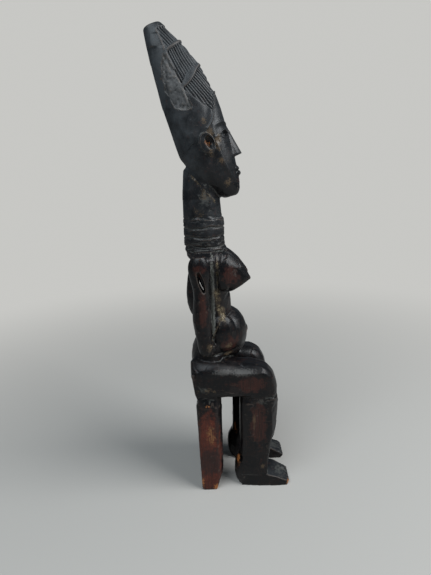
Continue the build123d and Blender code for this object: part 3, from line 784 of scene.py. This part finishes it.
def markSkin(mesh):
    points, normals, ends = readPoints(mesh), readNormals(mesh), readEdges(mesh)
    along, ahead = headAxes(points)
    fewRounds, manyRounds = relief["smoothRounds"]
    near = averaged(points, ends, fewRounds)
    far = averaged(near, ends, manyRounds)
    fine = averaged(((near - points) * normals).sum(axis=1), ends, 1) * relief["fine"]
    wide = ((far - near) * normals).sum(axis=1)
    fields = {kind: markField(points, kind) for kind in marks if kind != "crust"}
    broken = (cloud(points, relief["earthSize"], 91) - 0.5) * relief["earthBreak"]
    fields["earth"] += broken * (fields["earth"] > 0)
    fields["crust"] = np.clip(crustField(points), 0, 1)
    fields["hollow"] = np.clip(fine, 0, 1) + np.clip(wide * relief["wideHollow"], 0, 1)
    fields["edge"] = np.clip(-fine, 0, 1) + np.clip(-wide * relief["wideEdge"], 0, relief["wideEdgeLimit"])
    onHead = points[:, 2] > nodeBox("head")[0][2]
    fields["patch"] = np.where(onHead & (along > 80), wornPatch(along, ahead), 0)
    fields["outward"] = np.maximum(np.abs(normals[:, 0]), relief["frontAndRear"] * np.abs(normals[:, 1]))
    # painted sheen: the head and neck are greyer towards the top of the crest, and the crest's rear strip
    # and the tops of the feet are greyer too
    headGrey, neckGrey = np.interp(along, *slate["onHead"]), np.interp(points[:, 2], *slate["below"])
    rearStrip = step(0.05, 0.5, normals[:, 1]) * onHead * within(20, 130, along, 15)
    footTop = step(0.3, 0.7, normals[:, 2]) * (points[:, 2] < slate["footLevel"])
    fields["slate"] = np.where(onHead, headGrey, neckGrey) \
        + slate["rearStrip"] * rearStrip + slate["footTop"] * footTop
    for kind, field in fields.items():
        keepField(mesh, kind, field)


# materials
def nodeTree(owner):
    owner.use_nodes = True
    tree = owner.node_tree
    tree.nodes.clear()
    return tree


def addNode(tree, kind, values=None, **settings):
    # the outputs of a new node, set out in rows of eight; another node's output is linked in
    count = len(tree.nodes)
    node = tree.nodes.new(kind)
    node.location = (count % 8 * 220, count // 8 * -320)
    for name, value in settings.items():
        setattr(node, name, value)
    for socket, value in (values or {}).items():
        if isinstance(value, bpy.types.NodeSocket):
            tree.links.new(value, node.inputs[socket])
        else:
            node.inputs[socket].default_value = value
    return node.outputs


def maths(tree, kind, first, second=0.5, clamp=False):
    return addNode(tree, "ShaderNodeMath", {0: first, 1: second}, operation=kind, use_clamp=clamp)[0]


def noise(tree, where, scale, detail, roughness=0.5):
    values = {"Vector": where, "Scale": scale, "Detail": detail, "Roughness": roughness}
    return addNode(tree, "ShaderNodeTexNoise", values)["Fac"]


def spread(tree, value, low, high, curve="LINEAR"):
    # 0 at low, 1 at high
    values = {"Value": value, "From Min": low, "From Max": high}
    return addNode(tree, "ShaderNodeMapRange", values, interpolation_type=curve)["Result"]


def newGroup(name, inputs, outputs):
    # every socket carries a number
    group = bpy.data.node_groups.new(name, "ShaderNodeTree")
    for label, value in inputs.items():
        socket = group.interface.new_socket(label, in_out="INPUT", socket_type="NodeSocketFloat")
        socket.default_value = value
    for label in outputs:
        group.interface.new_socket(label, in_out="OUTPUT", socket_type="NodeSocketFloat")
    return group, addNode(group, "NodeGroupInput"), addNode(group, "ShaderNodeTexCoord")["Object"]


def fibreGroup():
    # wood fibre running up the billet: streaks, pores and blotches
    group, given, where = newGroup(
        "woodFibre", {"Fine": 1100.0, "Stretch": 0.06}, ("Streaks", "Pores", "Blotch"))
    stretch = addNode(group, "ShaderNodeCombineXYZ", {"X": 1.0, "Y": 1.0, "Z": given["Stretch"]})
    squash = {0: where, 1: stretch["Vector"]}
    squashed = addNode(group, "ShaderNodeVectorMath", squash, operation="MULTIPLY")["Vector"]
    addNode(group, "NodeGroupOutput", {
        "Streaks": noise(group, squashed, given["Fine"], 4.0, 0.65),
        "Pores": spread(group, noise(group, squashed, 2600.0, 2.0), 0.62, 0.74),
        "Blotch": noise(group, where, 75.0, 5.0, 0.62),
    })
    return group


def maskGroup():
    # a mark on the skin broken up by noise into a ragged patch
    group, given, where = newGroup(
        "raggedMark", {"Mark": 0.0, "Scale": 400.0, "Ragged": 0.8, "Level": 0.55}, ("Mask",))
    softness = 0.16
    sums = partial(maths, group)
    broken = sums("SUBTRACT", noise(group, where, given["Scale"], 5.0, 0.7), 0.5)
    mark = sums("ADD", sums("MULTIPLY", broken, given["Ragged"]), given["Mark"])
    low, high = sums("SUBTRACT", given["Level"], softness), sums("ADD", given["Level"], softness)
    addNode(group, "NodeGroupOutput", {"Mask": spread(group, mark, low, high, "SMOOTHSTEP")})
    return group


def scratchGroup():
    # thin pale scores that cross the fibre
    group, given, where = newGroup("scratches", {"Amount": 0.5}, ("Mask",))
    turn = {"Vector": where, "Rotation": (0.6, 0.3, 0.0), "Scale": (1.0, 0.09, 1.0)}
    turned = addNode(group, "ShaderNodeMapping", turn)["Vector"]
    thin = spread(group, noise(group, turned, 1300.0, 1.0), 0.68, 0.75)
    addNode(group, "NodeGroupOutput", {"Mask": maths(group, "MULTIPLY", thin, given["Amount"])})
    return group


effects = {"fibre": fibreGroup(), "ragged": maskGroup(), "scratches": scratchGroup()}

woodLook = {
    "stain": (0.0024, 0.0026, 0.0034, 1),
    "stainWarm": (0.0150, 0.0074, 0.0058, 1),
    # painted sheen, greying the head, neck, crest rear and foot tops
    "slate": (0.040, 0.045, 0.049, 1),
    "rubbed": (0.051, 0.0155, 0.011, 1),
    "board": (0.110, 0.024, 0.013, 1),
    "grime": (0.014, 0.010, 0.010, 1),
    "scrape": (0.30, 0.155, 0.060, 1),
    "bare": (0.42, 0.16, 0.050, 1),
    "worn": (0.072, 0.056, 0.046, 1),
    "patch": (0.061, 0.062, 0.063, 1),
    "dust": (0.080, 0.082, 0.074, 1),
    # painted light on the lit wall of the hollow beside each arm
    "ash": (0.200, 0.205, 0.185, 1),
    "earth": (0.125, 0.085, 0.048, 1),
    "caked": (0.080, 0.058, 0.036, 1),
    "crust": (0.42, 0.34, 0.20, 1),
    # painted highlight on thighs, crest, worn patch ridges and comb strands
    "paintedHighlight": (0.110, 0.108, 0.104, 1),
}


wear = {   # how each mark breaks up: noise scale, raggedness, level
    "rub": (150.0, 1.5, 0.42), "board": (190.0, 0.9, 0.22), "bare": (520.0, 2.2, 0.50),
    "scrape": (420.0, 2.2, 0.56), "grime": (200.0, 1.4, 0.30), "ash": (420.0, 1.2, 0.30),
    "earth": (900.0, 3.0, 0.68), "edge": (330.0, 1.4, 0.62), "patch": (300.0, 0.8, 0.5),
    "crust": (950.0, 3.2, 0.82), "caked": (380.0, 1.2, 0.34), "paintedHighlight": (700.0, 2.4, 0.48),
    "dust": (380.0, 1.8, 0.66), "mottle": (520.0, 0.9, 0.56),
}


fibreLook = {
    "fine": 900.0, "stretch": 0.07,          # the fibre's noise scale, and how long it is drawn out
    "brushFrom": 0.44, "brushGain": 6.0,
    # how blotchy the painted sheen lies
    "greyFrom": 0.22, "greyGain": 2.8,
    "dust": (0.7, 0.85),                     # how much lies in hollows and on dusty places
    "strandLight": 0.72, "strandDark": 0.55, # painted highlight on a strand above the one, painted shade in the cut below the other
    "strandHeight": 1.6,
    "rough": (0.23, 0.60), "gloss": 0.25,
    "bumpDepth": 0.5,                        # mm
}


def woodMaterial(name, combed=0.0, scratch=0.40, bump=0.30):
    material = bpy.data.materials.new(name)
    tree = nodeTree(material)
    held = partial(maths, tree, clamp=True)
    free = partial(maths, tree)
    times = partial(held, "MULTIPLY")

    def group(label, values):
        return addNode(tree, "ShaderNodeGroup", values, node_tree=effects[label])

    def attribute(label):
        return addNode(tree, "ShaderNodeAttribute", attribute_name=label)["Fac"]

    def ragged(kind, mark=None):
        scale, raggedness, level = wear[kind]
        values = {"Scale": scale, "Ragged": raggedness, "Level": level}
        values["Mark"] = attribute(kind) if mark is None else mark
        return group("ragged", values)["Mask"]

    def lay(under, over, mask, cover):
        # a coat of one colour over another, through a mask
        under, over = (woodLook[part] if isinstance(part, str) else part for part in (under, over))
        values = {"A": under, "B": over, "Factor": times(mask, cover)}
        return addNode(tree, "ShaderNodeMix", values, data_type="RGBA")["Result"]

    fibre = group("fibre", {"Fine": fibreLook["fine"], "Stretch": fibreLook["stretch"]})
    streak, blotch, pores = (fibre[label] for label in ("Streaks", "Blotch", "Pores"))
    scratches = group("scratches", {"Amount": scratch})["Mask"]
    hollow, edge, outward, grey = (attribute(label) for label in ("hollow", "edge", "outward", "slate"))
    rubbed = ragged("rub", times(attribute("rub"), outward))
    boardWood = ragged("board", times(attribute("board"), outward))
    inHollows, around = fibreLook["dust"]
    lying = held("ADD", times(hollow, inHollows), times(attribute("dust"), around))
    dusty, mottle = ragged("dust", lying), ragged("mottle", blotch)
    worn, patch, crusty = ragged("edge", edge), ragged("patch"), ragged("crust")

    # the cuts of the comb, drawn finer than the mesh can hold them, with a painted highlight on each
    # strand and painted shade in each cut
    wave = free("SINE", free("MULTIPLY", attribute("strand"), math.pi))
    strandTop = free("POWER", free("ABSOLUTE", wave), hair["strandRound"])
    onComb = times(attribute("comb"), combed)
    combLight = times(held("SUBTRACT", strandTop, fibreLook["strandLight"]), onComb)
    combDark = times(held("SUBTRACT", fibreLook["strandDark"], strandTop), onComb)
    plain = held("SUBTRACT", 1.0, onComb)

    # fine brushed lines up the wood, from the fibre with its contrast raised
    brushed = times(free("SUBTRACT", streak, fibreLook["brushFrom"]), fibreLook["brushGain"])
    uneven = free("MULTIPLY", free("SUBTRACT", blotch, fibreLook["greyFrom"]), fibreLook["greyGain"])
    rubColour = lay("rubbed", "stainWarm", brushed, 0.75)
    rubColour = lay(rubColour, "stain", pores, 0.9)
    boardColour = lay("board", "rubbed", brushed, 0.9)
    boardColour = lay(boardColour, "stainWarm", held("MAXIMUM", pores, mottle), 0.55)
    scraped = times(ragged("scrape"), held("SUBTRACT", 1.0, brushed))
    boardColour = lay(boardColour, "scrape", scraped, 0.65)
    # the worn patch's grey, with painted shade in its hollows
    patchWithPaintedShade = lay("patch", "stain", held("SUBTRACT", hollow, 0.1), 1.0)
    bareColour = lay("bare", "rubbed", brushed, 0.7)
    coats = (   # from the wood up: colour, mask, how much it covers
        ("stainWarm", times(mottle, brushed), 0.9),
        # painted sheen greying the head, neck, crest rear and foot tops
        ("slate", grey, uneven),
        (rubColour, rubbed, 0.68),
        (boardColour, boardWood, 0.92),
        ("grime", ragged("grime"), 0.72),
        (patchWithPaintedShade, patch, 0.9),
        # painted highlight on the worn patch's ridges
        ("paintedHighlight", times(patch, edge), 0.6),
        ("worn", times(worn, plain), 0.45),
        ("dust", times(dusty, plain), 0.5),
        # painted light on the wall of the hollow beside each arm
        ("ash", ragged("ash"), 0.75),
        ("earth", ragged("earth"), 0.5),
        # painted highlight on each comb strand and painted shade in each cut
        ("paintedHighlight", combLight, 0.7),
        ("stain", combDark, 0.8),
        # painted highlights along the thigh tops and on the crest
        ("paintedHighlight", ragged("paintedHighlight"), 0.6),
        ("worn", scratches, 0.8),
        (bareColour, ragged("bare"), 0.95),
        ("caked", ragged("caked", attribute("crust")), 0.62),
        ("crust", crusty, 0.8),
    )
    colour = "stain"
    for over, mask, cover in coats:
        colour = lay(colour, over, mask, cover)

    matt = times(blotch, 0.5)
    mattParts = ((dusty, 0.5), (crusty, 0.8), (patch, 0.3), (boardWood, 0.5), (grey, 0.22), (mottle, 0.2))
    for mask, share in mattParts:
        matt = held("ADD", matt, times(mask, share))
    smoothest, roughest = fibreLook["rough"]
    rough = addNode(tree, "ShaderNodeMapRange", {"Value": matt, "To Min": smoothest, "To Max": roughest})
    height = held("ADD", times(streak, 0.6), times(blotch, 0.4))
    height = held("SUBTRACT", height, times(scratches, 0.5))
    strands = free("MULTIPLY", times(strandTop, onComb), fibreLook["strandHeight"])
    height = free("ADD", times(height, plain), strands)
    raised = {"Strength": bump, "Distance": fibreLook["bumpDepth"] * mm, "Height": height}
    bumped = addNode(tree, "ShaderNodeBump", raised)["Normal"]
    shader = addNode(tree, "ShaderNodeBsdfPrincipled", {
        "Base Color": colour, "Roughness": rough["Result"], "Normal": bumped,
        "Specular IOR Level": fibreLook["gloss"],
    })
    addNode(tree, "ShaderNodeOutputMaterial", {"Surface": shader["BSDF"]})
    return material


# splitting the skin into its members
cuts = {
    "jaw": ((0.2, 306.8), (38.0, 350.6)),   # Y and Z at the chin and at the nape
    "ankle": 24.0,
    "underBoardTop": 0.5,
    "overThighs": 3.0,
}


def memberOf(centres):
    # which member each face belongs to
    along, ahead = headAxes(centres)
    x, y, z = centres.T
    (chinY, chinZ), (napeY, napeZ) = cuts["jaw"]
    aboveJaw = z > chinZ + (y - chinY) * (napeZ - chinZ) / (napeY - chinY)
    knee = nodeBox("stool_board_leg")[1][2] - cuts["underBoardTop"]
    lap = nodeBox("right_thigh")[1][2] + cuts["overThighs"]
    behind = y > 0.5 * (nodeBox("left_shin")[1][1] + nodeBox("stool_board_leg")[0][1])
    choices = (
        (aboveJaw & (along > hairlineAt(ahead)), "carvedCoiffure"),
        (aboveJaw, "carvedHead"),
        (z > nodeBox("neck")[0][2], "carvedNeck"),
        (z > lap, "carvedTorso"),
        (z > knee, "carvedLap"),
        (behind, "carvedBoardLeg"),
        ((z > cuts["ankle"]) & (x < 0), "carvedRightShin"),
        (z > cuts["ankle"], "carvedLeftShin"),
        (x < 0, "carvedRightFoot"),
        (x >= 0, "carvedLeftFoot"),
    )
    names = [name for _, name in choices]
    return np.select([mask for mask, _ in choices], np.arange(len(choices))), names


members = {
    "carvedCoiffure": ("coiffure",),
    "carvedHead": ("head",),
    "carvedNeck": ("neck",),
    "carvedTorso": ("trunk", "right_arm", "left_arm"),
    "carvedLap": ("right_thigh", "left_thigh", "stool_seat"),
    "carvedBoardLeg": ("stool_board_leg",),
    "carvedRightShin": ("right_shin",),
    "carvedLeftShin": ("left_shin",),
    "carvedRightFoot": ("right_foot",),
    "carvedLeftFoot": ("left_foot",),
}


def closeSkin(shape):
    # a flat cap over every cut; faces that touch only at a point are taken off first,
    # in a fixed order, so that each run gives the same mesh
    for _ in range(6):
        corners = dict.fromkeys(vert for edge in shape.edges if edge.is_boundary for vert in edge.verts)
        knots = [vert for vert in corners if sum(1 for edge in vert.link_edges if edge.is_boundary) > 2]
        if not knots:
            break
        touching = dict.fromkeys(face for vert in knots for face in vert.link_faces)
        bmesh.ops.delete(shape, geom=list(touching), context="FACES")
    rim = [edge for edge in shape.edges if edge.is_boundary]
    for edge in rim:
        edge.smooth = False
    bmesh.ops.holes_fill(shape, edges=rim, sides=0)
    left = [edge for edge in shape.edges if edge.is_boundary]
    bmesh.ops.contextual_create(shape, geom=left)


def splitSkin(block, materials):
    mesh = block.data
    label, names = memberOf(faceCentres(mesh))
    for name in names:
        mesh.materials.append(materials.get(name, materials["body"]).copy())
        mesh.materials[-1].name = "owner" + name
    mesh.polygons.foreach_set("material_index", label.astype(np.int32))
    bpy.context.view_layer.objects.active = block
    block.select_set(True)
    bpy.ops.object.mode_set(mode="EDIT")
    bpy.ops.mesh.separate(type="MATERIAL")
    bpy.ops.object.mode_set(mode="OBJECT")
    split = [piece for piece in bpy.context.scene.objects
             if piece.type == "MESH" and piece.name.startswith("carvedBlock")]
    for piece in split:
        name = piece.data.materials[piece.data.polygons[0].material_index].name.replace("owner", "")
        shape = bmesh.new()
        shape.from_mesh(piece.data)
        closeSkin(shape)
        bmesh.ops.triangulate(shape, faces=shape.faces)
        for face in shape.faces:
            face.material_index = 0
        shape.to_mesh(piece.data)
        loose = sum(1 for edge in shape.edges if edge.is_boundary)
        print("member", name, len(piece.data.polygons), "faces, open edges", loose)
        shape.free()
        piece.data.materials.clear()
        piece.data.materials.append(materials.get(name, materials["body"]))
        piece.name = piece.data.name = name
        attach(piece, "root")
        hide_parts(*members[name])
    for name in names:
        bpy.data.materials.remove(bpy.data.materials["owner" + name])


print("skin")
block = wholeSkin()
print("skin faces", len(block.data.polygons))
carveSkin(block)
markSkin(block.data)
print("carved")
materials = {
    "body": woodMaterial("stainedWood"),
    "carvedCoiffure": woodMaterial("combedWood", combed=1.0),
    "carvedBoardLeg": woodMaterial("boardWood", scratch=0.6, bump=0.45),
}
splitSkin(block, materials)
print("members done")

# stage: pale floor that melts into the backdrop, soft light, camera
stage = {
    "floorColour": (0.43, 0.415, 0.39, 1),
    "backdropColour": (0.575, 0.575, 0.555, 1),
    "skyColour": (0.74, 0.88, 1.0, 1), "skyStrength": 0.13,
    "floorSize": 4.0,
    "meltStart": 0.10,                   # metres from the figure
    "meltEnd": 0.95,
}


def paleCloth():
    material = bpy.data.materials.new("paleCloth")
    tree = nodeTree(material)
    cloth = {"Base Color": stage["floorColour"], "Roughness": 0.9}
    near = addNode(tree, "ShaderNodeBsdfPrincipled", cloth)["BSDF"]
    far = addNode(tree, "ShaderNodeEmission", {"Color": stage["backdropColour"]})["Emission"]
    where = addNode(tree, "ShaderNodeTexCoord")["Object"]
    away = addNode(tree, "ShaderNodeVectorMath", {0: where}, operation="LENGTH")["Value"]
    melt = spread(tree, away, stage["meltStart"], stage["meltEnd"], "SMOOTHSTEP")
    seen = maths(tree, "MULTIPLY", melt, addNode(tree, "ShaderNodeLightPath")["Is Camera Ray"])
    mix = addNode(tree, "ShaderNodeMixShader", {"Fac": seen, 1: near, 2: far})
    addNode(tree, "ShaderNodeOutputMaterial", {"Surface": mix["Shader"]})
    return material


def makeFloor():
    shape = bmesh.new()
    bmesh.ops.create_grid(shape, x_segments=1, y_segments=1, size=stage["floorSize"])
    mesh = bpy.data.meshes.new("floor")
    shape.to_mesh(mesh)
    shape.free()
    floor = newPiece("floor", mesh)
    mesh.materials.append(paleCloth())


cameraPlace = {"from": (-451.4, 9.05, 344.5), "pitch": 15.0, "roll": 2.0, "lens": 27.11}


def makeCamera():
    pitch, roll = math.radians(cameraPlace["pitch"]), math.radians(cameraPlace["roll"])
    forward = Vector((math.cos(pitch), 0, -math.sin(pitch)))
    right = Vector((0, -1, 0))
    up = Vector((math.sin(pitch), 0, math.cos(pitch)))
    turnedRight = math.cos(roll) * right - math.sin(roll) * up
    turnedUp = math.sin(roll) * right + math.cos(roll) * up
    data = bpy.data.cameras.new("camera")
    data.lens = cameraPlace["lens"]
    data.clip_start = 0.01
    camera = bpy.data.objects.new("camera", data)
    turn = Matrix((turnedRight, turnedUp, -forward)).transposed().to_4x4()
    camera.matrix_world = Matrix.Translation(Vector(cameraPlace["from"]) * mm) @ turn
    bpy.context.scene.collection.objects.link(camera)
    bpy.context.scene.camera = camera


lamps = {   # place and aim in metres, size, power and colour
    "windowLight": ((-0.40, -0.95, 1.15), (0, 0, 0.25), 0.9, 23, (0.95, 0.98, 1.0)),
    "ceilingLight": ((-0.66, 0.42, 1.20), (0, 0, 0.30), 0.8, 10, (0.86, 0.94, 1.0)),
}


def addLamp(name, place, aim, size, power, colour):
    data = bpy.data.lights.new(name, "AREA")
    data.size = size
    data.energy = power
    data.color = colour
    lamp = bpy.data.objects.new(name, data)
    lamp.location = place
    lamp.rotation_euler = (Vector(aim) - Vector(place)).to_track_quat("-Z", "Y").to_euler()
    bpy.context.scene.collection.objects.link(lamp)


def makeWorld():
    world = bpy.data.worlds.new("room")
    bpy.context.scene.world = world
    tree = nodeTree(world)
    sky = {"Color": stage["skyColour"], "Strength": stage["skyStrength"]}
    light = addNode(tree, "ShaderNodeBackground", sky)["Background"]
    backdrop = {"Color": stage["backdropColour"], "Strength": 1.0}
    seen = addNode(tree, "ShaderNodeBackground", backdrop)["Background"]
    fromCamera = addNode(tree, "ShaderNodeLightPath")["Is Camera Ray"]
    mix = addNode(tree, "ShaderNodeMixShader", {"Fac": fromCamera, 1: light, 2: seen})
    addNode(tree, "ShaderNodeOutputWorld", {"Surface": mix["Shader"]})


makeFloor()
makeCamera()
makeWorld()
for name, settings in lamps.items():
    addLamp(name, *settings)
bpy.context.scene.view_settings.view_transform = "Standard"
